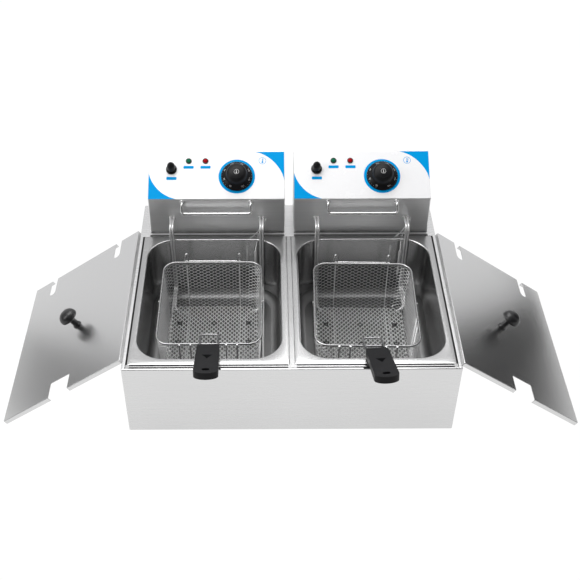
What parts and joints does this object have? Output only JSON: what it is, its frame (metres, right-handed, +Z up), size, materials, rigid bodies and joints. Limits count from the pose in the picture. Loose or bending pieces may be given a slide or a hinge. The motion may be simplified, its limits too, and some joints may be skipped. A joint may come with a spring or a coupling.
{
  "type": "deep fryer",
  "caption": "Counter-top deep fryer: steel casing with side-by-side tanks, lift-out control heads on heating elements, wire baskets with folding handles, and lids leaning on the sides.",
  "frame": {"origin": "middle of the footprint, on the table under the rubber feet", "axes": "+X towards the object's right as seen from the front, -Y towards the front where the basket handles are, +Z up"},
  "size_m": [1.007, 0.5252, 0.288],
  "materials": {
    "casing_steel": "brushed stainless sheet",
    "plate_steel": "plain galvanised sheet",
    "tank_steel": "pressed stainless, satin",
    "head_steel": "brushed stainless sheet",
    "lid_steel": "brushed stainless sheet",
    "wire_steel": "bright plated wire",
    "element_tube": "heat-tinted tube",
    "screw_steel": "plain zinc",
    "overlay_film": "printed film, light grey and blue",
    "brass": "plain",
    "copper": "plain copper",
    "ceramic": "glazed ceramic",
    "brown_plastic": "moulded",
    "black_plastic": "moulded",
    "knob_plastic": "moulded, glossy",
    "grip_plastic": "moulded, satin",
    "rubber": "moulded",
    "lamp_green": "tinted lens",
    "lamp_red": "tinted lens"
  },
  "bodies": {
    "casing": {"outer_casing": "casing_steel", "base_plate": "plate_steel", "centre_divider": "casing_steel", "rubber_feet": "rubber", "base_screws": "screw_steel", "tank_left": "tank_steel", "tank_right": "tank_steel"},
    "head_left": {"head_shell_left": "head_steel", "head_back_cover_left": "head_steel", "control_overlay_left": "overlay_film", "basket_bail_left": "wire_steel", "heating_element_left": "element_tube", "element_glands_left": "brass", "thermostat_left": "ceramic", "limit_cutout_left": "brown_plastic", "sensor_bulbs_left": "copper", "switch_housing_left": "black_plastic", "lamp_green_left": "lamp_green", "lamp_red_left": "lamp_red", "terminal_block_left": "ceramic", "cable_gland_left": "black_plastic", "head_screws_left": "screw_steel"},
    "knob_left": {"thermostat_knob_left": "knob_plastic", "thermostat_shaft_left": "screw_steel"},
    "switch_left": {"switch_boot_left": "rubber"},
    "basket_left": {"basket_frame_left": "wire_steel", "basket_mesh_left": "wire_steel"},
    "handle_left": {"handle_wires_left": "wire_steel", "handle_grip_left": "grip_plastic"},
    "lid_left": {"lid_panel_left": "lid_steel", "lid_knob_left": "black_plastic", "lid_knob_screw_left": "screw_steel"},
    "head_right": {"head_shell_right": "head_steel", "head_back_cover_right": "head_steel", "control_overlay_right": "overlay_film", "basket_bail_right": "wire_steel", "heating_element_right": "element_tube", "element_glands_right": "brass", "thermostat_right": "ceramic", "limit_cutout_right": "brown_plastic", "sensor_bulbs_right": "copper", "switch_housing_right": "black_plastic", "lamp_green_right": "lamp_green", "lamp_red_right": "lamp_red", "terminal_block_right": "ceramic", "cable_gland_right": "black_plastic", "head_screws_right": "screw_steel"},
    "knob_right": {"thermostat_knob_right": "knob_plastic", "thermostat_shaft_right": "screw_steel"},
    "switch_right": {"switch_boot_right": "rubber"},
    "basket_right": {"basket_frame_right": "wire_steel", "basket_mesh_right": "wire_steel"},
    "handle_right": {"handle_wires_right": "wire_steel", "handle_grip_right": "grip_plastic"},
    "lid_right": {"lid_panel_right": "lid_steel", "lid_knob_right": "black_plastic", "lid_knob_screw_right": "screw_steel"}
  },
  "joints": [
    {"name": "head_left_lift", "type": "slide", "parent": "casing", "child": "head_left", "axis": [0, 0, 1], "range_m": [0, 0.18]},
    {"name": "thermostat_left_turn", "type": "hinge", "parent": "head_left", "child": "knob_left", "pos_m": [-0.096, 0.20435, 0.25869], "axis": [0, -0.5281, 0.8492], "range_deg": [0, 270]},
    {"name": "switch_left_flip", "type": "hinge", "parent": "head_left", "child": "switch_left", "pos_m": [-0.2185, 0.21332, 0.27192], "axis": [1, 0, 0], "range_deg": [0, 28]},
    {"name": "basket_left_lift", "type": "slide", "parent": "head_left", "child": "basket_left", "axis": [0, 0, 1], "range_m": [0, 0.16]},
    {"name": "handle_left_fold", "type": "hinge", "parent": "basket_left", "child": "handle_left", "pos_m": [-0.138, -0.13704, 0.1575], "axis": [-1, 0, 0], "range_deg": [0, 65]},
    {"name": "lid_left_lift", "type": "slide", "parent": "casing", "child": "lid_left", "axis": [0, 0, 1], "range_m": [0, 0.3]},
    {"name": "head_right_lift", "type": "slide", "parent": "casing", "child": "head_right", "axis": [0, 0, 1], "range_m": [0, 0.18]},
    {"name": "thermostat_right_turn", "type": "hinge", "parent": "head_right", "child": "knob_right", "pos_m": [0.176, 0.20435, 0.25869], "axis": [0, -0.5281, 0.8492], "range_deg": [0, 270]},
    {"name": "switch_right_flip", "type": "hinge", "parent": "head_right", "child": "switch_right", "pos_m": [0.0535, 0.21332, 0.27192], "axis": [1, 0, 0], "range_deg": [0, 28]},
    {"name": "basket_right_lift", "type": "slide", "parent": "head_right", "child": "basket_right", "axis": [0, 0, 1], "range_m": [0, 0.16]},
    {"name": "handle_right_fold", "type": "hinge", "parent": "basket_right", "child": "handle_right", "pos_m": [0.13785, -0.14292, 0.1575], "axis": [-0.9997, 0.0244, 0], "range_deg": [0, 65]},
    {"name": "lid_right_lift", "type": "slide", "parent": "casing", "child": "lid_right", "axis": [0, 0, 1], "range_m": [0, 0.3]}
  ]
}
